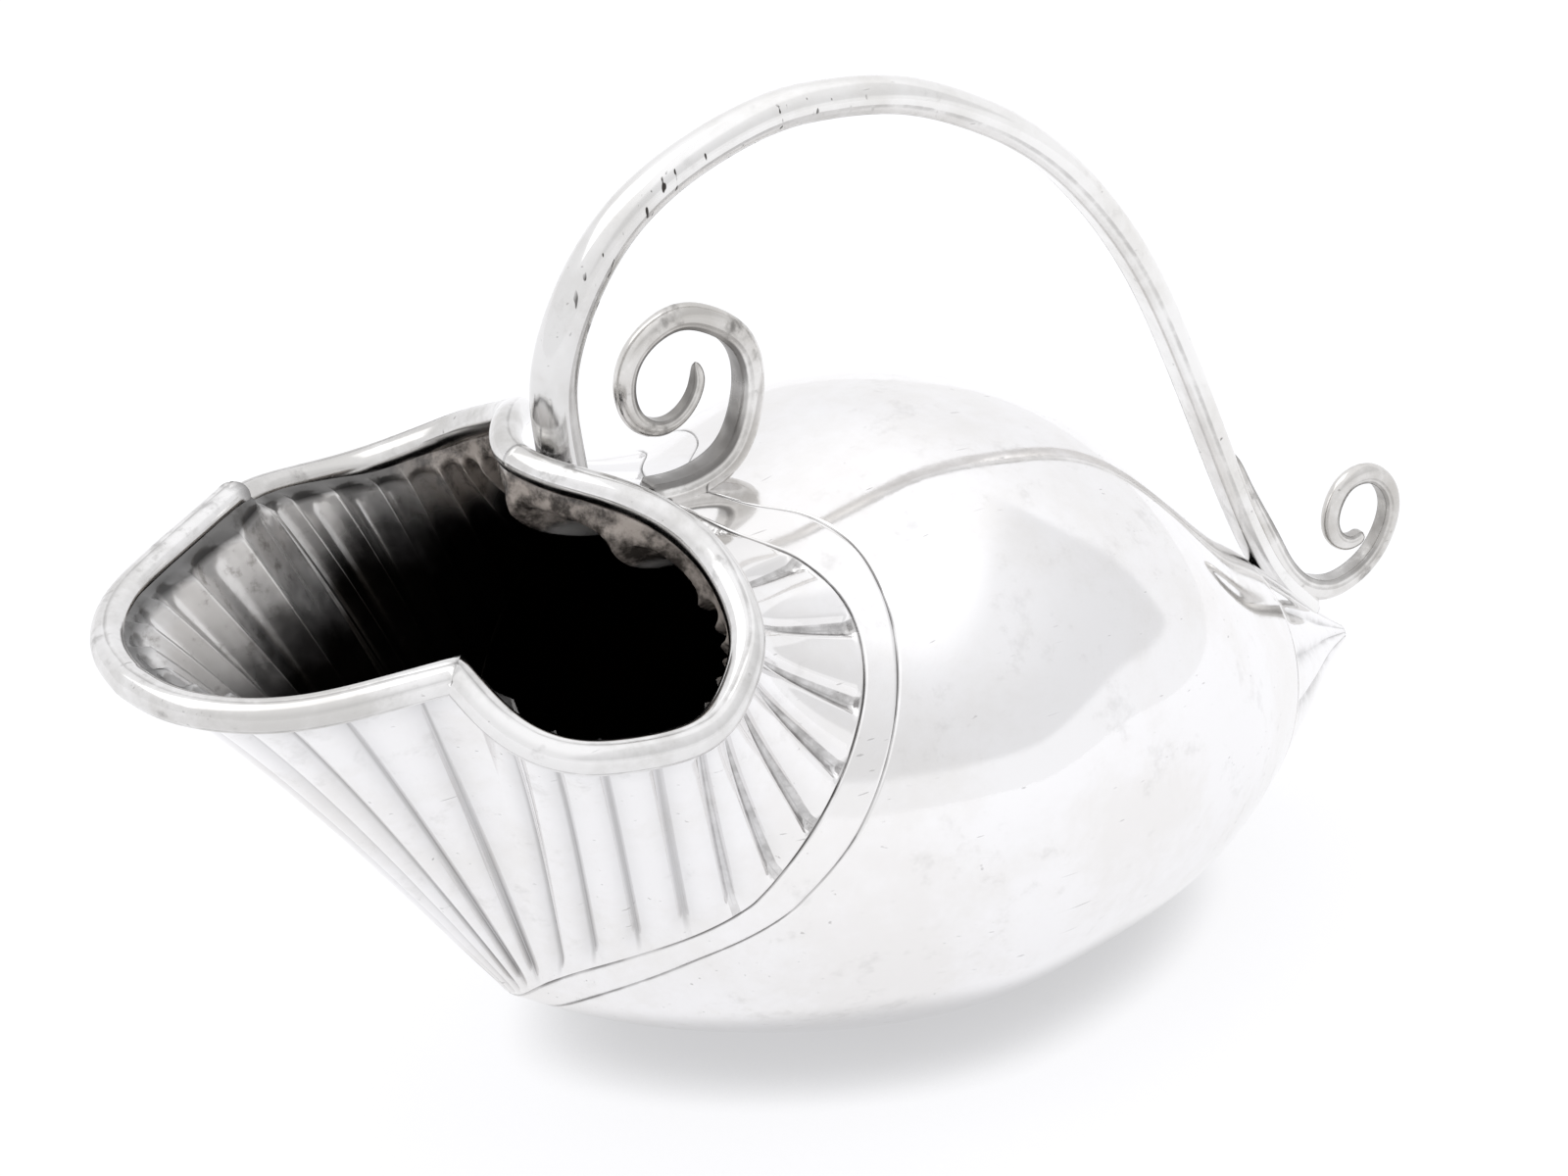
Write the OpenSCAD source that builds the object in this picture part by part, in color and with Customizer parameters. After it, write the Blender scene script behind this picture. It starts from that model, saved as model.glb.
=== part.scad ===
// Cream jug in the form of a wineskin: a bulb with a pointed tail, a fluted
// neck with a three-lobed wired mouth, and a high bow handle ending in scrolls.
// Millimetres. X runs from the spout (-X) to the tail (+X), Y is the mirror
// direction, Z is up, and the origin is the centre of the flat under the bulb.

/* [Sheet and wire] */
// Thickness of the silver sheet
sheet = 1.0; // [0.7:0.1:1.4]
// Diameter of the wire around the mouth
rim_d = 3.4; // [2.8:0.1:3.8]
// Depth of the valleys between flutes
flute_depth = 0.8; // [0.2:0.1:1.2]

/* [Handle] */
// Width of the bow at its front end
bow_w = 4.8; // [3.5:0.1:6]
// Width of the bow at its rear end
bow_w_rear = 3.6; // [2.6:0.1:4.5]
// Thickness of the bow as a share of its width
bow_flatness = 0.8; // [0.6:0.05:1]
// Diameter of the front scroll at its root
front_scroll_d = 3.4; // [2.8:0.1:4.2]
// Diameter of the rear scroll at its root
rear_scroll_d = 3.0; // [2.2:0.1:3.6]

/* [Hidden] */

silver = [0.80, 0.80, 0.79];
worn_silver = [0.62, 0.61, 0.60];
flutes = 18;                 // on each side of the jug
steps = 3;                   // facets across one flute
side = flutes * steps;       // facets around one side of a ring
cusp_flute = 12.5;           // where the front lobe meets a side lobe
neck_shares = [0, 0.08, 0.18, 0.35, 0.55, 0.75, 0.92, 1];
bulb_rings = 12;
tail_x = 35;                 // middle of the engraved ring around the tail
tail_lean = 5;               // how far the top of that ring lies behind its middle
tail_rings = 5;
tip_x = 56;
tail_hollow_x = 51;          // where the hollow of the tail stops

// Bulb stations: [x, half width, top, widest height, bottom]
bulb_stations = [
    [-50.0,  4.5, 58.3, 28.0, 10.5],
    [-44.5, 15.0, 58.3, 28.0,  7.5],
    [-38.5, 23.0, 58.3, 28.0,  5.0],
    [-31.0, 28.8, 58.3, 28.0,  2.8],
    [-20.0, 32.6, 58.6, 28.4, -0.3],
    [ -8.0, 35.6, 60.9, 28.8, -1.5],
    [  5.0, 34.0, 59.5, 28.3, -0.7],
    [ 18.0, 30.0, 53.6, 26.6,  1.8],
    [ 32.0, 20.7, 40.0, 23.7,  6.0],
    [ 44.0, 11.0, 29.0, 20.7, 11.2],
    [ 51.0,  4.9, 22.6, 18.9, 14.5],
    [ 56.0,  1.0, 18.4, 17.5, 16.6]];

// Line where the neck meets the bulb: [angle from the top, x]
collar_line = [[0, -29.7], [14, -27.0], [25, -22.7], [38, -21.2], [54, -23.8],
               [84, -34.0], [112, -43.0], [140, -47.2], [180, -48.2]];

// Angle on the collar at which each flute ends: [flute, angle]
flute_ends = [[0, 0], [2, 25], [4, 54], [7, 84], [10, 111.5], [12.5, 140],
              [15, 161], [18, 180]];

// How far the neck curves inward half way down: [flute, depth]
neck_waist = [[0, 2.6], [3, 2.6], [7, 1.4], [12.5, 1.0], [18, 1.3]];

// Centre of the mouth wire along a side lobe: [flute, x, y, z]
side_lobe = [
    [ 0.0, -45.7,  0.0, 66.9],
    [ 0.5, -43.9,  4.6, 66.5],
    [ 1.0, -40.3,  9.6, 65.8],
    [ 1.5, -36.9, 13.6, 63.8],
    [ 2.0, -35.2, 18.0, 61.2],
    [ 4.0, -36.3, 24.9, 57.5],
    [ 6.0, -39.4, 28.5, 54.9],
    [ 8.0, -45.6, 31.8, 52.5],
    [10.0, -56.2, 31.1, 53.2],
    [11.0, -60.3, 28.3, 54.1],
    [11.8, -62.8, 25.0, 56.1],
    [12.5, -64.5, 20.5, 59.4]];

// Centre of the mouth wire along half of the front lobe: [flute, x, y, z]
front_lobe = [
    [12.5, -64.5, 20.5, 59.4],
    [14.0, -75.0, 16.2, 57.3],
    [15.0, -80.1, 13.2, 56.7],
    [16.0, -83.6,  9.4, 56.4],
    [17.0, -85.7,  5.0, 56.1],
    [18.0, -86.3,  0.0, 56.0]];

// Centre line of the handle bow: [x, z]
bow_line = [[-40.2, 62.0], [-41.0, 67.0], [-41.5, 73.3], [-39.6, 80.2],
            [-35.2, 86.9], [-28.1, 91.9], [-18.8, 94.8], [-11.4, 95.0],
            [ -2.9, 93.5], [  5.9, 89.6], [ 15.5, 82.7], [ 25.1, 71.2],
            [ 31.6, 59.2], [ 36.7, 47.6], [ 41.6, 36.4], [ 46.0, 28.2],
            [ 49.6, 23.9], [ 52.0, 21.3]];

// Centre lines of the two scrolls: [x, z]
front_scroll_line = [[-31.6, 58.9], [-28.4, 58.6], [-25.4, 58.9],
    [-22.4, 60.2], [-20.3, 63.1], [-19.4, 68.0], [-20.8, 72.8], [-24.8, 76.0],
    [-28.7, 76.7], [-32.3, 74.6], [-33.6, 70.9], [-32.4, 67.3], [-29.4, 65.7],
    [-26.6, 66.9], [-25.3, 69.4], [-25.6, 71.5]];
rear_scroll_line = [[39.9, 43.4], [42.2, 37.8], [44.8, 32.2], [47.0, 28.2],
    [49.7, 25.2], [52.4, 23.8], [55.6, 23.6], [59.9, 26.0], [61.9, 31.0],
    [60.3, 34.7], [57.8, 36.0], [55.2, 35.3], [53.7, 32.6], [54.1, 29.8],
    [56.2, 28.2], [58.4, 28.7]];

// ---- Curves ----

// Row of a table that x falls in
function row_of(t, x, i = 0) =
    i >= len(t) - 2 || x < t[i + 1][0] ? i : row_of(t, x, i + 1);

// Slope of column c of a table at row i
function slope(t, i, c) =
    let (a = max(i - 1, 0), b = min(i + 1, len(t) - 1))
    (t[b][c] - t[a][c]) / (t[b][0] - t[a][0]);

// Smooth value of column c of a table at x
function at(t, x, c) =
    let (i = row_of(t, x),
         d = t[i + 1][0] - t[i][0],
         u = (x - t[i][0]) / d,
         v = 1 - u)
    t[i][c] * (1 + 2 * u) * v * v + slope(t, i, c) * d * u * v * v
    + t[i + 1][c] * u * u * (3 - 2 * u) - slope(t, i + 1, c) * d * u * u * v;

function unit(v) = v / norm(v);
function mirrored(v) = [v[0], -v[1], v[2]];

// ---- Surfaces ----

// Point on the bulb at station x and angle a from the top, inset below the skin
function bulb_point(x, a, inset) =
    let (mid = at(bulb_stations, x, 3),
         up = at(bulb_stations, x, 2) - mid - inset,
         down = mid - at(bulb_stations, x, 4) - inset,
         w = at(bulb_stations, x, 1) - inset)
    [x, w * sin(a), max(mid + (cos(a) > 0 ? up : down) * cos(a), inset)];

// Point where flute f ends on the collar
function collar_point(f, inset) =
    let (a = at(flute_ends, f, 1))
    bulb_point(at(collar_line, a, 1), a, inset);

function rim_point(f) =
    let (t = f > cusp_flute ? front_lobe : side_lobe)
    [at(t, f, 1), at(t, f, 2), at(t, f, 3)];

// Straight line from the mouth to the collar at flute f, a share s of the way down
function neck_line(f, s) = rim_point(f) * (1 - s) + collar_point(f, 0) * s;

// Outward normal of the skin that those lines make
function neck_normal(f, s) =
    let (a = max(f - 0.2, 0),
         b = min(f + 0.2, flutes),
         along = neck_line(b, s) - neck_line(a, s),
         n = unit(cross(neck_line(f, 1) - neck_line(f, 0), along)))
    f == 0 || f == flutes ? unit([n[0], 0, n[2]]) : n;

// Depth of the groove at flute f and share s: deepest at whole flutes
function groove(f, s) =
    flute_depth * pow(abs(cos(180 * f)), 3) * pow(sin(180 * pow(s, 0.7)), 0.5);

function neck_point(f, s, inset) =
    s == 1 ? collar_point(f, inset)
    : neck_line(f, s) - neck_normal(f, s)
      * (inset + groove(f, s) + at(neck_waist, f, 1) * sin(180 * pow(s, 0.7)));

// Ring of points around the jug, from the top down one side and up the other
function ring(half) =
    concat(half, [for (i = [side - 1 : -1 : 1]) mirrored(half[i])]);

function neck_ring(s, inset) =
    ring([for (i = [0 : side]) neck_point(i / steps, s, inset)]);

// Ring of the bulb a share t of the way from the collar to the tail
function bulb_ring(t, inset) =
    ring([for (i = [0 : side])
        let (a = at(flute_ends, i / steps, 1),
             x = at(collar_line, a, 1) * (1 - t) + (tail_x + tail_lean * cos(a)) * t)
        bulb_point(x, a, inset)]);

// Ring of the tail a share t of the way from the bulb to the plane x = end_x
function tail_ring(t, end_x, inset) =
    ring([for (i = [0 : side])
        let (a = at(flute_ends, i / steps, 1))
        bulb_point((tail_x + tail_lean * cos(a)) * (1 - t) + end_x * t, a, inset)]);

// ---- Meshes ----

// Skin over a list of rings that all have the same number of points. A closed
// skin joins its last ring to its first, and an open one is capped at both ends.
module loft(rings, closed = false) {
    n = len(rings[0]);
    last = len(rings) - 1;
    points = [for (r = rings) each r];
    walls = [for (k = [0 : closed ? last : last - 1], i = [0 : n - 1])
        let (a = k * n,
             b = (k + 1) % len(rings) * n,
             j = (i + 1) % n)
        each [[a + i, b + i, b + j], [a + i, b + j, a + j]]];
    caps = closed ? [] : [[for (i = [0 : n - 1]) i],
                          [for (i = [n - 1 : -1 : 0]) last * n + i]];
    polyhedron(points, concat(walls, caps), convexity = 8);
}

// Oval section of a wire: centre p, direction t, second axis v, two diameters
function wire_ring(p, t, v, d_across, d_along, sides) =
    let (x = unit(cross(t, v)),
         y = unit(cross(x, t)))
    [for (i = [0 : sides - 1])
        let (a = 360 * i / sides)
        p + x * cos(a) * d_across / 2 + y * sin(a) * d_along / 2];

// Direction of a list of points at its item i
function heading(path, i) =
    unit(path[min(i + 1, len(path) - 1)] - path[max(i - 1, 0)]);

// Points along a drawn line of [x, z], n to each stretch
function traced(line, n) =
    let (rows = [for (i = [0 : len(line) - 1]) [i, line[i][0], line[i][1]]],
         last = (len(line) - 1) * n)
    [for (k = [0 : last]) [at(rows, k / n, 1), 0, at(rows, k / n, 2)]];

// Wire through the middle plane, tapering from d0 to d1 and rounded at its tip. Its
// first quarter grows from the share root of its diameter, as a tongue.
module flat_wire(line, d0, d1, flatness, n, sides, blunt = 1, root = 1) {
    path = traced(line, n);
    last = len(path) - 1;
    loft([for (i = [0 : last])
        let (u = i / last,
             d = (d0 + (d1 - d0) * u) * (i == last ? blunt : 1)
                 * min(1, root + (1 - root) * 4 * u))
        wire_ring(path[i], heading(path, i), [0, 1, 0], d * flatness, d, sides)]);
}

// Centre line of the mouth wire from flute f0 to flute f1 of one side
function rim_path(f0, f1, n) =
    [for (i = [0 : n]) rim_point(f0 + (f1 - f0) * i / n)];

// Ring r of a wire with direction t, slid onto the plane through p with normal n
function mitred(r, t, p, n) = [for (q = r) q - t * ((q - p) * n) / (t * n)];

// Wire around the mouth, cut at both ends by planes with normals n0 and n1, and
// thinner at its start by the share slim
module rim_wire(path, n0, n1, slim) {
    last = len(path) - 1;
    loft([for (i = [0 : last])
        let (t = heading(path, i),
             d = rim_d * (1 - slim * pow(1 - i / last, 4)),
             r = wire_ring(path[i], t, [0, 0, 1], d, d, 10))
        i == 0 ? mitred(r, t, path[i], n0)
        : i == last ? mitred(r, t, path[i], n1) : r]);
}

// ---- Pieces ----

module bulb() {
    color(silver)
    loft(concat(
        [for (i = [0 : bulb_rings]) bulb_ring(i / bulb_rings, 0)],
        [for (i = [bulb_rings : -1 : 0]) bulb_ring(i / bulb_rings, sheet)]),
        closed = true);
}

module neck() {
    color(silver)
    loft(concat(
        [for (s = neck_shares) neck_ring(s, 0)],
        [for (i = [len(neck_shares) - 1 : -1 : 0]) neck_ring(neck_shares[i], sheet)]),
        closed = true);
}

// Hollow cone behind the engraved ring
module tail_tip() {
    color(silver)
    loft(concat(
        [for (i = [tail_rings : -1 : 0]) tail_ring(i / tail_rings, tail_hollow_x, sheet)],
        [for (i = [0 : tail_rings]) tail_ring(i / tail_rings, tip_x, 0)]));
}

front_half = rim_path(cusp_flute + 0.001, flutes, 16);
side_path = rim_path(0, cusp_flute, 36);

// Normal of the plane that halves the corner at the +Y cusp of the mouth
cusp_normal = unit(heading(side_path, len(side_path) - 1) + heading(front_half, 0));

module rim_front() {
    path = concat(front_half,
        [for (i = [len(front_half) - 2 : -1 : 0]) mirrored(front_half[i])]);
    color(worn_silver) rim_wire(path, cusp_normal, mirrored(cusp_normal), 0);
}

module rim_side() {
    rim_wire(side_path, [0, 1, 0], cusp_normal, 0.12);
}

module rim_left() {
    color(worn_silver) rim_side();
}

module rim_right() {
    color(worn_silver) mirror([0, 1, 0]) rim_side();
}

module handle_bow() {
    color(worn_silver) flat_wire(bow_line, bow_w, bow_w_rear, bow_flatness, 3, 14);
}

module front_scroll() {
    color(worn_silver) flat_wire(front_scroll_line, front_scroll_d, 1.2, 1, 3, 10, 0.6, 0.9);
}

module rear_scroll() {
    color(worn_silver) flat_wire(rear_scroll_line, rear_scroll_d, 1.6, 1, 3, 10, 0.6, 0.4);
}

bulb();
neck();
tail_tip();
rim_front();
rim_left();
rim_right();
handle_bow();
front_scroll();
rear_scroll();
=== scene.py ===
import math
import bpy
import numpy as np
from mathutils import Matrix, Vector


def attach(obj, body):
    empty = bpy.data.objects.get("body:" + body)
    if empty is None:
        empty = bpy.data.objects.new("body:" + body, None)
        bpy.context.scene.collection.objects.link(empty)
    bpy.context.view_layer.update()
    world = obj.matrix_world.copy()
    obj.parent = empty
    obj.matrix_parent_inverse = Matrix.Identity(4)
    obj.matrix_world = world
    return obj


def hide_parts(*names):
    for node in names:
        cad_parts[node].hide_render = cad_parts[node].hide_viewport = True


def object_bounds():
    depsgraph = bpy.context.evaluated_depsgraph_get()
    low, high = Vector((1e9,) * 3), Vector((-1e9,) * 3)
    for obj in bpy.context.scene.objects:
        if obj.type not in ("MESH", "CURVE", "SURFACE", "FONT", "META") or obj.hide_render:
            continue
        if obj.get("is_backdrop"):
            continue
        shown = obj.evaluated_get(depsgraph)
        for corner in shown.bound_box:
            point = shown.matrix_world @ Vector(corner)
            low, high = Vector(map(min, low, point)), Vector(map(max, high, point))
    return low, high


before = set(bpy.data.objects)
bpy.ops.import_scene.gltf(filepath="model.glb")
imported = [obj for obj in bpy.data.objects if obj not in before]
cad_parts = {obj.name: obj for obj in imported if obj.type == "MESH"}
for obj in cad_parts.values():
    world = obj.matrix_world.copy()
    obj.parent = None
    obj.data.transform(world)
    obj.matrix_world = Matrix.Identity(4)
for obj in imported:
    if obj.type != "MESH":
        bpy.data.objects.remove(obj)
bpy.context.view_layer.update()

MM = 0.001

# ---------------------------------------------------------------- jug tables, in mm
FLUTES = 18                    # on each side of the jug
CUSP = 12.5                    # where the front lobe of the mouth meets a side lobe
SHEET = 0.9                    # thickness of the visible sheet
TAIL_X, TAIL_LEAN = 35.0, 5.0  # ring around the tail, and how far its top lies back
TIP_X, TAIL_HOLLOW_X = 56.0, 50
TAIL_FLUTES = 16
LINE_DEPTH = .16               # engraved groove at the collar

# Bulb stations: x, half width, top, widest height, bottom
BULB = [(-50, 4.5, 58.3, 28, 10.5), (-44.5, 15, 58.3, 28, 7.5), (-38.5, 23, 58.3, 28, 5),
        (-31, 28.8, 58.3, 28, 2.8), (-20, 32.6, 58.6, 28.4, -.3),
        (-8, 35.6, 60.9, 28.8, -1.5), (5, 34, 59.5, 28.3, -.7), (18, 30, 53.6, 26.6, 1.8),
        (32, 20.7, 40, 23.7, 6), (44, 11, 29, 20.7, 11.2), (51, 4.9, 22.6, 18.9, 14.5),
        (56, 1, 18.4, 17.5, 16.6)]
# Where the neck meets the bulb, and the engraved line behind it: angle from the top, x
COLLAR = [(0, -29.7), (14, -27), (25, -22.7), (38, -21.2), (54, -23.8), (84, -34),
          (112, -43), (140, -47.2), (180, -48.2)]
BAND = [(0, -25.8), (9, -23.2), (16, -19.5), (25, -17.5), (34, -17.4), (45, -18.6),
        (60, -21.9), (76, -26.9), (90, -32.7), (111, -40.1), (140, -44.6), (180, -45.6)]
# Angle on the collar at which each flute ends
ENDS = [(0, 0), (2, 25), (4, 54), (7, 84), (10, 111.5), (12.5, 140), (15, 161),
        (18, 180)]
# How far the neck curves inward half way down, and how deep the flutes are
WAIST = [(0, 2.6), (3, 2.6), (7, 1.4), (12.5, 1.0), (18, 1.3)]
RELIEF = [(0, 1.2), (6, 1.15), (9, 1), (13, .95), (18, .9)]
# Centre of the mouth wire: flute, x, y, z
SIDE_LOBE = [(0, -45.7, 0, 66.9), (.5, -43.9, 4.6, 66.5), (1, -40.3, 9.6, 65.8),
             (1.5, -36.9, 13.6, 63.8), (2, -35.2, 18, 61.2), (4, -36.3, 24.9, 57.5),
             (6, -39.4, 28.5, 54.9), (8, -45.6, 31.8, 52.5), (10, -56.2, 31.1, 53.2),
             (11, -60.3, 28.3, 54.1), (11.8, -62.8, 25, 56.1), (12.5, -64.5, 20.5, 59.4)]
FRONT_LOBE = [(12.5, -64.5, 20.5, 59.4), (14, -75, 16.2, 57.3), (15, -80.1, 13.2, 56.7),
              (16, -83.6, 9.4, 56.4), (17, -85.7, 5, 56.1), (18, -86.3, 0, 56)]
# Centre lines of the handle and its scrolls: x, z
BOW = [(-40.2, 62), (-41, 67), (-41.5, 73.3), (-39.6, 80.2), (-35.2, 86.9),
       (-28.1, 91.9), (-18.8, 94.8), (-11.4, 95), (-2.9, 93.5), (5.9, 89.6), (15.5, 82.7),
       (25.1, 71.2), (31.6, 59.2), (36.7, 47.6), (41.6, 36.4), (46, 28.2), (49.6, 23.9),
       (52, 21.3)]
FRONT_SCROLL = [(-31.6, 58.9), (-28.4, 58.6), (-25.4, 58.9), (-22.4, 60.2), (-20.3, 63.1),
                (-19.4, 68), (-20.8, 72.8), (-24.8, 76), (-28.7, 76.7), (-32.3, 74.6),
                (-33.6, 70.9), (-32.4, 67.3), (-29.4, 65.7), (-26.6, 66.9), (-25.3, 69.4),
                (-25.6, 71.5)]
REAR_SCROLL = [(39.9, 43.4), (42.2, 37.8), (44.8, 32.2), (47, 28.2), (49.7, 25.2),
               (52.4, 23.8), (55.6, 23.6), (59.9, 26), (61.9, 31), (60.3, 34.7), (57.8, 36),
               (55.2, 35.3), (53.7, 32.6), (54.1, 29.8), (56.2, 28.2), (58.4, 28.7)]


# ---------------------------------------------------------------- curves
def spline(table, x, col):
    """Smooth value of a table's column at x, through every row (natural cubic)."""
    t = np.asarray(table, float)
    xs, ys = t[:, 0], t[:, col]
    n = len(xs)
    h = np.diff(xs)
    a = np.eye(n)
    r = np.zeros(n)
    for i in range(1, n - 1):
        a[i, i - 1:i + 2] = h[i - 1], 2 * (h[i - 1] + h[i]), h[i]
        r[i] = 6 * ((ys[i + 1] - ys[i]) / h[i] - (ys[i] - ys[i - 1]) / h[i - 1])
    m = np.linalg.solve(a, r)
    x = np.asarray(x, float)
    i = np.clip(np.searchsorted(xs, x, side="right") - 1, 0, n - 2)
    d = h[i]
    p, q = xs[i + 1] - x, x - xs[i]
    return ((m[i] * p ** 3 + m[i + 1] * q ** 3) / (6 * d)
            + (ys[i] / d - m[i] * d / 6) * p + (ys[i + 1] / d - m[i + 1] * d / 6) * q)


def hermite(table, x, col):
    """Value of a table's column at x without overshoot, as the solids have it."""
    t = np.asarray(table, float)
    xs, ys = t[:, 0], t[:, col]
    n = len(xs)
    lo = np.maximum(np.arange(n) - 1, 0)
    hi = np.minimum(np.arange(n) + 1, n - 1)
    m = (ys[hi] - ys[lo]) / (xs[hi] - xs[lo])
    x = np.asarray(x, float)
    i = np.clip(np.searchsorted(xs, x, side="right") - 1, 0, n - 2)
    d = xs[i + 1] - xs[i]
    u = (x - xs[i]) / d
    v = 1 - u
    return (ys[i] * (1 + 2 * u) * v * v + m[i] * d * u * v * v
            + ys[i + 1] * u * u * (3 - 2 * u) - m[i + 1] * d * u * u * v)


def ramp(x, a, b):
    """0 at a and 1 at b, with a smooth start and stop."""
    u = np.clip((np.asarray(x, float) - a) / (b - a), 0, 1)
    return u * u * (3 - 2 * u)


def unit(v):
    """Vectors of length one."""
    return v / np.linalg.norm(v, axis=-1, keepdims=True)


# ---------------------------------------------------------------- mesh tools
def mesh_piece(name, rings, node, materials, closed=False, marks=None, inner=None,
               flip=False):
    """Skin over rings (R, N, 3) in mm that stands for a CAD node. marks: name -> (R, N),
    read by the materials. inner: rows of quads that take the second material. A skin that
    isn't closed on itself gets a cap at each end."""
    rings = np.asarray(rings, float)
    count, n = rings.shape[:2]
    verts = rings.reshape(-1, 3) * MM
    rows = count if closed else count - 1
    k = np.arange(rows)[:, None]
    i = np.arange(n)[None]
    j = (i + 1) % n
    after = (k + 1) % count
    quads = np.stack([k * n + i, after * n + i, after * n + j, k * n + j], -1)
    faces = quads.reshape(-1, 4).tolist()
    mat = np.zeros((rows, n), int)
    if inner is not None:
        mat[inner] = 1
    mat = mat.reshape(-1).tolist()
    if not closed:
        extra, caps = [], (mat[0], mat[-1])
        for end in (0, 1):
            base = (count - 1) * n if end else 0
            middle = len(verts) + len(extra)
            extra.append(rings[-1 if end else 0].mean(0) * MM)
            for s in range(n):
                tri = [base + s, base + (s + 1) % n, middle]
                faces.append(tri if end else tri[::-1])
                mat.append(caps[end])
        verts = np.vstack([verts, extra])
    if flip:
        faces = [f[::-1] for f in faces]
    mesh = bpy.data.meshes.new(name)
    mesh.from_pydata(verts.tolist(), [], faces)
    mesh.update()
    for m in materials:
        mesh.materials.append(m)
    mesh.polygons.foreach_set("material_index", mat)
    mesh.polygons.foreach_set("use_smooth", [True] * len(faces))
    for key, values in (marks or {}).items():
        layer = mesh.attributes.new(key, "FLOAT", "POINT")
        flat = np.broadcast_to(values, (count, n)).astype(float).reshape(-1)
        flat = np.concatenate([flat, np.full(len(verts) - len(flat), flat[-1])])
        layer.data.foreach_set("value", flat)
    piece = bpy.data.objects.new(name, mesh)
    bpy.context.scene.collection.objects.link(piece)
    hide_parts(node)
    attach(piece, "root")


def mirrored(rings):
    """The same rings on the other side of the middle plane."""
    return rings * np.array([1, -1, 1])


# ---------------------------------------------------------------- body surfaces
def bulb_point(x, angle, inset):
    """Points of the bulb's skin at stations x and angles from the top, inset below it.
    Nothing goes below the flat the jug stands on."""
    x, angle = np.broadcast_arrays(np.asarray(x, float), np.asarray(angle, float))
    w, top, mid, low = (spline(BULB, x, c) for c in (1, 2, 3, 4))
    c, s = np.cos(np.radians(angle)), np.sin(np.radians(angle))
    w = np.maximum(.9985 * w - inset, .05)
    z = mid + np.where(c > 0, np.maximum(top - mid - inset, .05),
                       np.maximum(mid - low - inset, .05)) * c
    return np.stack([x, w * s, np.maximum(z, np.maximum(inset, 0))], -1)


def rim_point(f):
    """Centre of the mouth wire at flute f."""
    f = np.asarray(f, float)
    side = [hermite(SIDE_LOBE, np.minimum(f, CUSP), c) for c in (1, 2, 3)]
    front = [hermite(FRONT_LOBE, np.maximum(f, CUSP), c) for c in (1, 2, 3)]
    return np.stack([np.where(f > CUSP, b, a) for a, b in zip(side, front)], -1)


def collar_point(f, inset):
    """Where flute f ends on the bulb."""
    a = hermite(ENDS, f, 1)
    return bulb_point(hermite(COLLAR, a, 1), a, inset)


def neck_frame(f):
    """Mouth point, collar point and outward normal of the neck at each flute."""
    rim, foot = rim_point(f), collar_point(f, 0)
    lo, hi = np.maximum(f - .2, 0), np.minimum(f + .2, FLUTES)
    half = lambda g: (rim_point(g) + collar_point(g, 0)) / 2
    normal = np.cross(foot - rim, half(hi) - half(lo))
    ends = (f <= 0) | (f >= FLUTES)
    normal[ends, 1] = 0
    return rim, foot, unit(normal)


def flute_steps(per_flute):
    """Flute numbers from 0 to FLUTES, crowded towards the valleys at whole numbers."""
    u = np.arange(per_flute) / per_flute
    u = u - .55 * np.sin(2 * np.pi * u) / (2 * np.pi)
    return np.append((np.arange(FLUTES)[:, None] + u[None]).reshape(-1), FLUTES)


def all_round(half):
    """One side's rows (R, H, 3) made into whole rings, down one side and up the other."""
    return np.concatenate([half, mirrored(half[:, -2:0:-1])], 1)


def all_round_mark(half):
    """The same for a mark (R, H)."""
    return np.concatenate([half, half[:, -2:0:-1]], 1)


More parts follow.
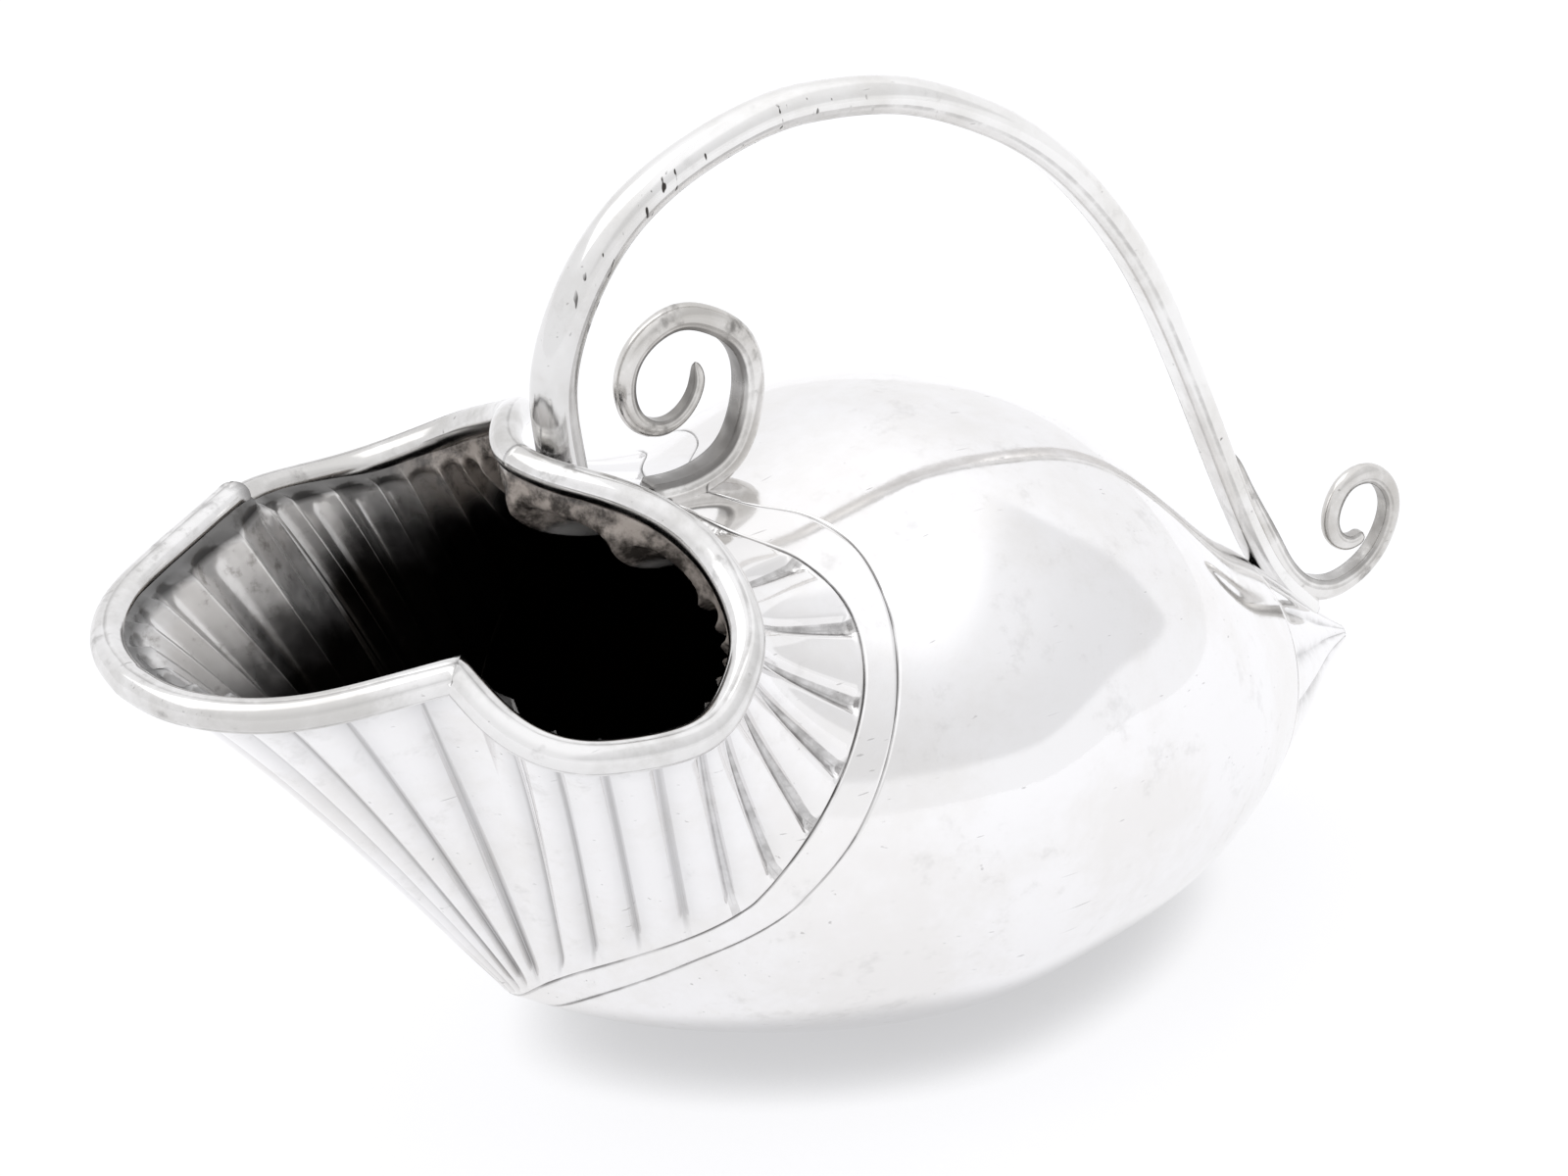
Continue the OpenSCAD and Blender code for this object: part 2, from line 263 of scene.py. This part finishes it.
def neck_rows(f, shares, inset):
    """Rows of the neck at shares of the way from the mouth to the collar, and their marks.
    inset is 0 for the outside and the sheet's thickness for the inside. The flutes at the
    back have flat-bottomed valleys that widen to the collar.

    Marks: dark is soot, deep is mm below the mouth for the blackened inside, rut is 1 on
    the line of a valley, hard is how dark the valleys are at the back, soft is painted
    shade in the valleys at the front, shade is broad grey painted between the flutes and
    under the mouth wire as shade and dark reflections, and brown is the crust under the
    rear wire."""
    outside = inset == 0
    rim, foot, normal = neck_frame(f)
    length = np.linalg.norm(foot - rim, axis=-1)
    lo, hi = np.maximum(f - .5, 0), np.minimum(f + .5, FLUTES)
    rim_step = rim_point(hi) - rim_point(lo)
    foot_step = collar_point(hi, 0) - collar_point(lo, 0)
    gap = np.abs(f - np.round(f)) / (hi - lo)
    dome = np.abs(np.sin(np.pi * f))
    relief = hermite(RELIEF, f, 1)
    waist = hermite(WAIST, f, 1)
    back = ramp(f, 10, 6)
    rows = []
    marks = {key: [] for key in ("dark", "deep", "rut", "hard", "soft", "shade", "brown")}
    for s in shares:
        from_rim, from_foot = s * length, (1 - s) * length
        # mm from the nearest valley's line, and that valley's half width
        off = gap * np.linalg.norm(rim_step * (1 - s) + foot_step * s, axis=-1)
        half = .16 + (.16 + .40 * back) * s
        wall = ramp(off, half * .9, half + .35)
        # lobe is 0 in the valleys and 1 on the flutes, and both fade out at the two ends
        lobe = wall * (.15 + .4 * back) + dome * (.85 - .4 * back)
        lobe = lobe * ramp(from_rim, 1.5, 5.2 - 2.2 * back)
        fall = ramp(from_foot, 0, 3.5 - 3.1 * back) * (.3 + .7 * ramp(from_rim, .2, 2.2))
        height = -relief * (1 - lobe) * fall
        if not outside:
            # deeper than outside, but never through it
            ridge = relief * 2.1 * (1 - dome ** .9 * ramp(from_rim, .6, 2.4)) * fall
            height = np.minimum(-ridge, height + .45)
        bend = waist * math.sin(math.pi * s ** .7)
        edge = ramp(from_foot, .24, 0)
        groove = LINE_DEPTH * edge * outside
        p = rim * (1 - s) + foot * s - normal * (inset + bend - height + groove)[:, None]
        if s >= 1:
            p = collar_point(f, inset + LINE_DEPTH * outside)
        rows.append(p)

        start = ramp(from_rim, 1.4, 5 - 2.5 * back)
        behind_nose = .85 * ramp(f, 1.4, .4) * ramp(from_rim, 8, 3)
        under_wire = .85 * ramp(from_rim, 2.3, 1.8)
        marks["dark"].append(np.maximum(.6 * edge, behind_nose) if outside else under_wire)
        marks["deep"].append(from_rim - 6.5 * ramp(f, 12.5, 16)
                             + 5 * ramp(f, 13, 10) * ramp(f, 3, 6) - 2 * ramp(f, 4, 2))
        marks["rut"].append(np.clip(1.6 - off / half, 0, 1.6) / 1.6)
        marks["hard"].append(.5 * back * start * outside)
        # painted shade: soft grey in the valleys at the front, standing for the flutes'
        # shading
        marks["soft"].append(.34 * (1 - back) * start * ramp(from_foot, .2, 3) * outside)
        # painted shade: broad grey between the flutes and just under the mouth wire,
        # standing for dark reflections
        between = .27 * (1 - dome) ** 1.2 * (1 - .7 * back) * start
        near_wire = .20 * ramp(from_rim, 7, 2.5) * (1 - back)
        marks["shade"].append((between + near_wire) * ramp(from_foot, .2, 4) * outside)
        marks["brown"].append(ramp(f, 8, 5) * ramp(from_rim, 8.5, 5) * (not outside))
    return np.array(rows), {key: np.array(value) for key, value in marks.items()}


# ---------------------------------------------------------------- materials
class Nodes:
    """Short names for building a node tree."""

    def __init__(self, tree):
        self.tree = tree

    def plug(self, node, inputs):
        """Link or set a node's inputs."""
        for key, value in inputs.items():
            if isinstance(value, bpy.types.NodeSocket):
                self.tree.links.new(value, node.inputs[key])
            else:
                node.inputs[key].default_value = value

    def add(self, kind, inputs=None, **settings):
        node = self.tree.nodes.new(kind)
        for key, value in settings.items():
            setattr(node, key, value)
        self.plug(node, inputs or {})
        return node

    def math(self, op, a, b):
        return self.add("ShaderNodeMath", {0: a, 1: b}, operation=op).outputs[0]

    def plus(self, a, b):
        return self.math("ADD", a, b)

    def minus(self, a, b):
        return self.math("SUBTRACT", a, b)

    def times(self, a, b):
        return self.math("MULTIPLY", a, b)

    def most(self, *values):
        total = values[0]
        for value in values[1:]:
            total = self.math("MAXIMUM", total, value)
        return total

    def step(self, value, lo, hi, to_lo=0.0, to_hi=1.0):
        """Smooth step from to_lo at lo to to_hi at hi."""
        node = self.add("ShaderNodeMapRange", {0: value, 1: lo, 2: hi, 3: to_lo, 4: to_hi},
                        interpolation_type="SMOOTHSTEP")
        return node.outputs[0]

    def noise(self, vector, scale, detail=3.0, rough=.55):
        node = self.add("ShaderNodeTexNoise", {"Vector": vector, "Scale": scale,
                                               "Detail": detail, "Roughness": rough})
        return node.outputs["Fac"]

    def mix(self, fac, a, b):
        """Colour b over colour a."""
        node = self.add("ShaderNodeMix", data_type="RGBA")
        self.plug(node, {0: fac, 6: a, 7: b})
        return node.outputs[2]

    def mark(self, name):
        """A mesh mark, 0 where the mesh has none of that name."""
        return self.add("ShaderNodeAttribute", attribute_name=name).outputs["Fac"]

    def turned(self, where, scale, turn, place=(0, 0, 0)):
        """Stretched and turned coordinates."""
        return self.add("ShaderNodeMapping", {"Vector": where, "Location": place,
                                              "Rotation": turn, "Scale": scale}).outputs[0]


# dark of the dirt, also used for the painted shade in the front valleys, and the grey of
# the broad painted shade
SOIL_AND_SHADE = (.055, .05, .047, 1)
SHADE = (.25, .25, .26, 1)
SCRATCH_TURNS = ((0, 0, .4), (.7, .3, 1.3), (.2, 1.1, 2.2), (1.3, .5, 2.8))


def hairlines(n, where):
    """Fine scratches: stretched noise in several directions, only its peaks kept."""
    lines = []
    for k, turn in enumerate(SCRATCH_TURNS):
        place = n.turned(where, (70, 1900, 1900), turn, (k * 3.1, k * 1.7, k))
        lines.append(n.step(n.noise(place, 1.0, 1.0, .4), .78, .83))
    return n.most(*lines)


def new_material(name):
    m = bpy.data.materials.new(name)
    m.use_nodes = True
    n = Nodes(m.node_tree)
    shader = m.node_tree.nodes["Principled BSDF"]
    where = n.add("ShaderNodeTexCoord").outputs["Object"]
    return m, n, shader, where


def silver(name, tone, rough, wear, stain, pit, tint):
    """Silver: polished base, soft tarnish, fine scratches, pits, dark in the marks, and
    painted shade in the front valleys and where the shade mark is.
    wear, stain and pit are how strong the scratches, blotches and pits are, and tint is
    the tarnish's share of the tone."""
    m, n, shader, where = new_material(name)
    cloud = n.noise(where, 55, 4)
    fine = n.noise(where, 420, 5, .65)
    grain = n.noise(where, 2300, 3, .6)
    haze = n.step(n.plus(cloud, n.times(fine, .35)), .55, .85)
    scratch = hairlines(n, where)

    # soot in the joints and grooves, broken up
    dark = n.mark("dark")
    soot = n.times(dark, n.step(n.plus(fine, n.times(dark, .5)), .35, .75))
    soot = n.times(soot, n.step(n.noise(where, 170, 2), .35, .6, .5, 1.0))
    # pits and blotches
    spots = n.step(n.noise(where, 900, 2, .5), .78 - pit * .08, .82)
    spots = n.times(n.times(spots, n.step(cloud, .45, .62)), pit)
    blotch = n.plus(n.times(n.noise(where, 130, 4, .7), .7), n.times(fine, .4))
    blotch = n.times(n.step(blotch, .60, .74), stain)
    # valleys: sharp-edged and hatched with a dark middle at the back; at the front a soft
    # grey that is painted shade
    rut, hard = n.mark("rut"), n.mark("hard")
    hatch = n.step(n.plus(fine, n.times(scratch, .3)), .35, .7, .5, 1.15)
    trough = n.times(n.step(rut, .31, .42), n.times(hard, hatch))
    core = n.times(n.step(rut, .80, .98), n.times(hard, .9))
    soft = n.times(n.step(rut, 0, .95), n.mark("soft"))
    # short upright nicks
    upright = n.turned(where, (1500, 1500, 480), (0, .35, 0))
    nick = n.times(n.step(n.noise(upright, 1, 1, .4), .66, .70), n.mark("nicks"))
    # all the darkening: soot, pits, blotches, dirty valleys and scratches, and also the
    # painted shade of the front valleys
    darkening = n.most(soot, spots, blotch, trough, core, soft, nick, n.times(scratch, wear))

    dull = tuple(a * b for a, b in zip(tone, tint))
    base = n.mix(n.times(haze, .8), (*tone, 1), (*dull, 1))
    # painted shade: broad grey between the flutes, under the mouth wire and on the front of
    # the bow, standing for dark reflections
    base = n.mix(n.mark("shade"), base, SHADE)
    height = n.plus(n.times(fine, .5), n.times(grain, .12))
    height = n.minus(n.minus(height, n.times(scratch, .5)), n.times(spots, 2.0))
    bump = n.add("ShaderNodeBump", {"Height": height, "Strength": .035 + wear * .05,
                                    "Distance": .0002})
    n.plug(shader, {
        "Base Color": n.mix(darkening, base, SOIL_AND_SHADE),
        "Metallic": 1.0,
        "Roughness": n.plus(n.plus(rough, n.times(haze, rough * 1.2)), n.times(darkening, .3)),
        "Normal": bump.outputs[0]})
    return m


def oxide(name, black_from, black_to):
    """Inside of the jug: grey near the mouth and blackened from black_from to black_to mm
    below it, with a mottled brown crust where it is marked."""
    m, n, shader, where = new_material(name)
    deep, brown = n.mark("deep"), n.mark("brown")
    cloud = n.noise(where, 70, 4, .6)
    fine = n.noise(where, 500, 5, .65)
    level = n.plus(deep, n.times(n.minus(cloud, .5), 22.0))
    black = n.step(level, black_from, black_to)
    speck = n.step(n.plus(fine, n.times(cloud, .3)), .70, .90)
    near = n.mix(n.step(deep, -1.5, -.2), (.90, .895, .89, 1), (.86, .845, .83, 1))
    near = n.mix(speck, near, (.47, .45, .43, 1))
    far = n.mix(fine, (.006, .0055, .0055, 1), (.035, .030, .026, 1))
    base = n.mix(black, near, far)
    base = n.mix(n.mark("dark"), base, (.01, .009, .008, 1))
    crust = n.step(n.plus(n.times(cloud, .6), n.times(fine, .5)), .46, .64)
    crust = n.mix(crust, (.05, .043, .038, 1), (.46, .41, .37, 1))
    bump = n.add("ShaderNodeBump", {"Height": fine, "Strength": .06, "Distance": .0003})
    n.plug(shader, {
        "Base Color": n.mix(brown, base, crust),
        "Metallic": n.minus(n.step(black, 0, 1, .5, .9), n.times(brown, .4)),
        "Roughness": n.step(fine, .3, .7, .12, .24),
        "Normal": bump.outputs[0]})
    return m


# name, tone, roughness, wear, stain, pits, tint of the tarnish
POLISHED = silver("polished_silver", (.90, .895, .90), .045, .3, .10, .4, (.93, .92, .90))
BOW_SILVER = silver("bow_silver", (.88, .875, .865), .09, .35, .12, .9, (.84, .83, .81))
WIRE = silver("worn_silver_wire", (.81, .80, .785), .08, .35, .65, 1.0, (.62, .605, .58))
RIM = silver("rubbed_silver_wire", (.80, .795, .79), .09, .35, .40, .7, (.68, .67, .65))
INSIDE = oxide("oxidised_silver", 4, 19)

# ---------------------------------------------------------------- bulb, neck and tail
f_half = flute_steps(14)
angle = hermite(ENDS, f_half, 1)
collar, band = hermite(COLLAR, angle, 1), hermite(BAND, angle, 1)
tail_ring = TAIL_X + TAIL_LEAN * np.cos(np.radians(angle))
NO_SOOT = np.zeros(len(angle))
IN_THE_DARK = 60.0             # deep mark for the bulb and tail, black all over inside


def make_neck():
    """The neck, outside from the mouth to the collar and inside back up."""
    near_rim = np.linspace(0, .12, 8)
    middle = np.linspace(.14, .86, 40)
    near_foot = np.concatenate([np.linspace(.88, .975, 7), [.985, .992, .997, 1.0]])
    shares = np.concatenate([near_rim, middle, near_foot])
    rows, marks = neck_rows(f_half, shares, 0)
    in_rows, in_marks = neck_rows(f_half, shares[::-1], SHEET)
    marks = {key: all_round_mark(np.concatenate([marks[key], in_marks[key]]))
             for key in marks}
    mesh_piece("neck_sheet", all_round(np.concatenate([rows, in_rows])), "neck",
               (POLISHED, INSIDE), closed=True, marks=marks,
               inner=slice(len(shares) - 1, 2 * len(shares)))


# Rows beside each engraved line: mm behind it, depth, soot
COLLAR_GROOVE = [(0, LINE_DEPTH, .75), (.06, .10, .7), (.15, 0, .1), (.35, 0, 0)]
BAND_LINE = [(-.4, 0, 0), (-.16, 0, .1), (-.07, .1, .75), (0, .15, .8), (.07, .1, .75),
             (.16, 0, .1), (.4, 0, 0)]
TAIL_LINE = [(-.3, 0, 0), (-.1, .02, .1), (-.04, .08, .6), (0, .1, .6)]


def make_bulb():
    """The bulb: collar groove, plain band, engraved line, body and tail ring."""
    beside = lambda line, table: [(line + gap, cut, soot) for gap, cut, soot in table]
    sets = beside(collar, COLLAR_GROOVE)
    sets += [(collar + (band - collar) * share, 0, 0) for share in (.3, .5, .7)]
    sets += beside(band, BAND_LINE)
    sets += [(band + .5 + (tail_ring - band - .9) * share, 0, 0)
             for share in np.linspace(.02, 1, 110)[:-1]]
    sets += beside(tail_ring, TAIL_LINE)
    rows = [bulb_point(x, angle, cut) for x, cut, soot in sets]
    dark = [NO_SOOT + soot for x, cut, soot in sets]
    hollow = [bulb_point(collar * (1 - t) + tail_ring * t, angle, SHEET)
              for t in np.linspace(1, 0, 40)]
    dark = all_round_mark(np.array(dark + [NO_SOOT] * len(hollow)))
    mesh_piece("bulb_shell", all_round(np.array(rows + hollow)), "bulb", (POLISHED, INSIDE),
               closed=True, marks={"dark": dark, "deep": IN_THE_DARK},
               inner=slice(len(rows) - 1, len(rows) + len(hollow)))


def make_tail():
    """Cone behind the ring, with shallow flats between valleys that meet at the tip."""
    phase = np.abs(np.sin(np.radians(angle) * TAIL_FLUTES / 2))
    rows, dark = [], []
    for t in np.concatenate([[0, .004, .012, .03], np.linspace(.06, 1, 30)]):
        x = tail_ring * (1 - t) + TIP_X * t
        on_ring = t < .003
        depth = np.minimum(.55, .09 * spline(BULB, x, 1))
        cut = depth * (1 - phase ** .8) * ramp(t, 0, .08) + .1 * on_ring
        rows.append(bulb_point(x, angle, cut))
        dark.append(np.maximum((1 - phase) ** 1.5 * .5 * ramp(t, 0, .04), .5 * on_ring))
    hollow = [bulb_point(tail_ring * (1 - t) + TAIL_HOLLOW_X * t, angle, SHEET)
              for t in np.linspace(1, 0, 10)]
    dark = all_round_mark(np.array([NO_SOOT] * len(hollow) + dark))
    mesh_piece("tail_cone", all_round(np.array(hollow + rows)), "tail_tip",
               (POLISHED, INSIDE), marks={"dark": dark, "deep": IN_THE_DARK},
               inner=slice(0, len(hollow)))


make_neck()
make_bulb()
make_tail()


# ---------------------------------------------------------------- handle and scrolls
def sweep(path, side, profile, ends=(None, None)):
    """Rings of a profile (P, 2) along a path. side is the section's second axis, and
    ends are the normals of the planes that cut the two ends."""
    path = np.asarray(path, float)
    t = unit(np.gradient(path, axis=0))
    x = unit(np.cross(t, side))
    y = unit(np.cross(x, t))
    rings = path[:, None] + x[:, None] * profile[..., :1] + y[:, None] * profile[..., 1:]
    for k, normal in ((0, ends[0]), (-1, ends[1])):
        if normal is not None:
            q = rings[k] - path[k]
            rings[k] = rings[k] - t[k] * ((q @ normal) / (t[k] @ normal))[:, None]
    return rings


def traced(line, n):
    """n points along a drawn line of (x, z), evenly spaced, and its length."""
    t = np.array([(k, *p) for k, p in enumerate(line)], float)
    fine = np.linspace(0, len(line) - 1, 40 * len(line))
    x, z = spline(t, fine, 1), spline(t, fine, 2)
    run = np.concatenate([[0], np.cumsum(np.hypot(np.diff(x), np.diff(z)))])
    even = np.linspace(0, run[-1], n)
    points = np.stack([np.interp(even, run, x), 0 * even, np.interp(even, run, z)], -1)
    return points, run[-1]


def ridged(n, flat=.30, crease=-.12, blunt=.34):
    """Section with a round back of n points and two bevels to a narrow flat: unit
    thickness and width, back towards +x."""
    back = [(.5 - (.5 - crease) * (1 - math.cos(a)), .5 * math.sin(a))
            for a in np.linspace(-math.pi / 2, math.pi / 2, n)]
    down = [(crease - .02 - (.48 + crease) * u, .49 - (.49 - blunt) * u ** 1.15)
            for u in np.linspace(.04, 1, 6)]
    inside = [(-.5 - flat * .03 * math.sin(math.pi * u), blunt * (1 - 2 * u))
              for u in np.linspace(.12, .88, 5)]
    up = [(x, -y) for x, y in down[::-1]]
    return np.array(back + down + inside + up)


BACK_POINTS = 15


def wire_piece(name, line, n, size, flatness, sign, node, material, tip, foot, darkening):
    """Wire of n rings in the middle plane. size(u) is its width, flatness its thickness as
    a share of that, sign the side its round back is on, tip and foot how many mm of each
    end are rounded, and soil how dark its inner side is."""
    path, total = traced(line, n)
    u = np.linspace(0, 1, n)
    run = u * total
    shape = ridged(BACK_POINTS)
    width = size(u)
    scale = np.ones(n)
    for v in ((total - run) / tip, run / foot):
        scale *= np.sqrt(np.clip(1 - (1 - np.clip(v, 0, 1)) ** 2, .004, 1))
    profile = shape[None] * np.stack([width * flatness * scale, width * scale], -1)[:, None]
    profile[..., 0] *= sign
    rings = sweep(path, np.array([0, 1.0, 0]), profile)
    last = len(shape) - 1
    crease = np.isin(np.arange(len(shape)), (BACK_POINTS, BACK_POINTS + 1, last - 1, last))
    dark = (crease * .3 + (shape[:, 0] < -.3) * darkening)[None] + 0 * u[:, None]
    dark = np.maximum(dark, .5 * ramp(run, 2.5, .5)[:, None])
    on_bow = node == "handle_bow"
    side = (np.abs(shape[:, 1]) > .3) & (shape[:, 0] < .3)
    nicks = (ramp(u, .08, .15) * ramp(u, .40, .30))[:, None] * side * on_bow
    # painted shade: grey on the front of the bow, standing for a dark reflection
    shade = (.22 * ramp(u, .34, .06) * on_bow)[:, None]
    mesh_piece(name, rings, node, (material,), flip=sign < 0,
               marks={"dark": dark, "nicks": nicks, "shade": shade})


wire_piece("handle_bow_wire", BOW, 260,
           lambda u: 3.55 + .6 * ramp(u, 1, .3) + .7 * ramp(u, .28, .02),
           .80, 1, "handle_bow", BOW_SILVER, 1.5, 1.0, .08)
wire_piece("front_scroll_wire", FRONT_SCROLL, 220,
           lambda u: (3.55 - 2.2 * u ** 1.1) * (.9 + .1 * ramp(u, 0, .2)),
           1.0, -1, "front_scroll", WIRE, 2.4, .6, .75)
wire_piece("rear_scroll_wire", REAR_SCROLL, 240,
           lambda u: (3.15 - 1.5 * u) * (.4 + .6 * ramp(u, 0, .26)),
           1.0, -1, "rear_scroll", WIRE, .9, 3.0, .5)


# ---------------------------------------------------------------- mouth wire
RIM_RADIUS = 1.66
JOINT_ROWS = 14                # rings over which the wires run together at the near cusp


def rim_section(n):
    """Mouth wire: an inner bead and a wider outer roll, with fine lines between them, and
    how dark it is all round."""
    a = np.linspace(0, 2 * np.pi, n, endpoint=False)

    def beside(deg, spread):
        away = np.abs((a - math.radians(deg) + np.pi) % (2 * np.pi) - np.pi)
        return np.exp(-(away / spread) ** 2)

    r = RIM_RADIUS + .04 * np.cos(2 * (a - math.radians(20)))
    r -= .10 * beside(80, .10) + .08 * beside(-38, .12)
    soot = np.maximum(.45 * beside(80, .08), .4 * beside(-38, .1))
    soot = np.maximum(soot, .40 * beside(212, .45))
    soot = np.maximum(soot, .5 * beside(-72, .16))
    return np.stack([r * np.cos(a), r * np.sin(a)], -1), soot


def rim_path(f0, f1, n):
    """Centre line of the mouth wire, evenly spaced and gently smoothed. A line that starts
    in the middle plane is smoothed across it."""
    p = rim_point(np.linspace(f0, f1, 600))
    run = np.concatenate([[0], np.cumsum(np.linalg.norm(np.diff(p, axis=0), axis=1))])
    even = np.linspace(0, run[-1], n)
    p = np.stack([np.interp(even, run, p[:, c]) for c in range(3)], -1)
    p = np.concatenate([mirrored(p)[:0:-1], p]) if f0 == 0 else p
    for _ in range(30):
        p[1:-1] = p[1:-1] * .5 + (p[:-2] + p[2:]) * .25
    return p[-n:]


def end_soot(count, first, last):
    """Dark in the solder joints at the ends of a rim wire."""
    u = np.arange(count)
    return np.maximum(first * ramp(u, 1.6, 0), last * ramp(count - 1 - u, 1.6, 0))[:, None]


def make_rim():
    """The three mouth wires, mitred where they meet at the nose and the two cusps."""
    up, across = np.array([0, 0, 1.0]), np.array([0, 1.0, 0])
    shape, soot = rim_section(60)
    side_path = rim_path(0, CUSP, 150)
    front_path = rim_path(CUSP + .001, FLUTES, 70)
    corner = unit(unit(side_path[-1] - side_path[-3]) + unit(front_path[2] - front_path[0]))
    slim = 1 - .12 * (1 - np.linspace(0, 1, len(side_path))) ** 4
    left = sweep(side_path, up, shape[None] * slim[:, None, None], ends=(across, corner))
    front = sweep(front_path, up, shape[None] + 0 * front_path[:, None, :2],
                  ends=(corner, across))

    # the near cusp is filed smooth: both wires run into one shared end ring
    joint = (left[-1] + front[0]) / 2
    blend = ramp(np.arange(JOINT_ROWS), JOINT_ROWS - 1, 0)[:, None, None]
    near_front, near_side = front.copy(), left.copy()
    near_front[:JOINT_ROWS] += (joint - front[0]) * blend
    near_side[-JOINT_ROWS:] += (joint - left[-1]) * blend[::-1]
    front = np.concatenate([front, mirrored(near_front)[-2::-1]])

    for name, node, rings, flip, first, last in (
            ("rim_front_wire", "rim_front", front, True, .7, 0),
            ("rim_left_wire", "rim_left", left, True, .1, .7),
            ("rim_right_wire", "rim_right", mirrored(near_side), False, .1, 0)):
        dark = np.maximum(soot[None], end_soot(len(rings), first, last))
        mesh_piece(name, rings, node, (RIM,), flip=flip,
                   marks={"dark": dark})


make_rim()


# ---------------------------------------------------------------- floor, light and camera
FLOOR_HALF = 4.0
WHITE = (.985, .985, 1, 1)
# Directions of the two openings of the tent, and where each one's edge falls
OPENINGS = [((-.382, -.81, .444), -.12, -.05), ((.679, -.647, -.346), -.02, .30)]


def floor():
    """White table that glows a little as painted light, and whose glow dims right under the
    jug as a painted contact shadow.
    """
    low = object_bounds()[0][2]
    h = FLOOR_HALF
    mesh = bpy.data.meshes.new("floor")
    mesh.from_pydata([(-h, -h, low), (h, -h, low), (h, h, low), (-h, h, low)], [],
                     [(0, 1, 2, 3)])
    piece = bpy.data.objects.new("floor", mesh)
    bpy.context.scene.collection.objects.link(piece)
    m, n, shader, where = new_material("floor_white")
    # painted contact shadow: ambient occlusion dims the floor's glow close under the jug
    near = n.add("ShaderNodeAmbientOcclusion", {"Distance": .008}, samples=8).outputs["AO"]
    n.plug(shader, {
        "Base Color": n.mix(n.noise(where, 9, 3), (.205, .205, .208, 1),
                            (.22, .22, .223, 1)),
        "Emission Color": WHITE,
        "Emission Strength": n.step(near, .3, 1.0, .50, .80),
        "Roughness": .7,
        "Specular IOR Level": .2})
    mesh.materials.append(m)
    piece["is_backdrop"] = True


def studio():
    """White tent: brighter above, with a grey patch where its two openings meet."""
    world = bpy.data.worlds.new("tent")
    world.use_nodes = True
    bpy.context.scene.world = world
    n = Nodes(world.node_tree)
    ray = n.add("ShaderNodeTexCoord").outputs["Generated"]
    up = n.add("ShaderNodeSeparateXYZ", {0: ray}).outputs[2]
    patch = n.step(up, .17, .24)
    for axis, lo, hi in OPENINGS:
        towards = n.add("ShaderNodeVectorMath", {0: ray, 1: axis},
                        operation="DOT_PRODUCT").outputs["Value"]
        patch = n.times(patch, n.step(towards, lo, hi))
    level = n.times(n.step(up, .35, .95, 1.03, 1.2), n.step(patch, 0, 1, 1.0, .85))
    tent = n.add("ShaderNodeBackground", {"Color": WHITE, "Strength": level})
    n.plug(world.node_tree.nodes["World Output"], {0: tent.outputs[0]})


def lamp(name, place, target, size, power):
    """Soft square lamp that looks at target."""
    data = bpy.data.lights.new(name, "AREA")
    data.shape = "SQUARE"
    data.size = size
    data.energy = power
    obj = bpy.data.objects.new(name, data)
    obj.location = place
    look = Vector(target) - Vector(place)
    obj.rotation_euler = look.to_track_quat("-Z", "Y").to_euler()
    bpy.context.scene.collection.objects.link(obj)


def camera(target, azimuth, elevation, distance, lens):
    """Camera that stands azimuth degrees from -Y towards -X and looks at target."""
    data = bpy.data.cameras.new("camera")
    data.sensor_width = 36
    data.lens = lens
    data.clip_start = .01
    data.clip_end = 50
    cam = bpy.data.objects.new("camera", data)
    az, el = math.radians(azimuth), math.radians(elevation)
    back = Vector((-math.sin(az) * math.cos(el), -math.cos(az) * math.cos(el),
                   math.sin(el)))
    cam.location = Vector(target) + back * distance
    cam.rotation_euler = (-back).to_track_quat("-Z", "Y").to_euler()
    bpy.context.scene.collection.objects.link(cam)
    bpy.context.scene.camera = cam


floor()
studio()
lamp("soft_key", (-.45, .30, .95), (0, 0, .03), .9, 1.6)
camera((-.01548, 0, .04429), 34, 28.3, .516, 121.5)
bpy.context.scene.view_settings.view_transform = "Standard"
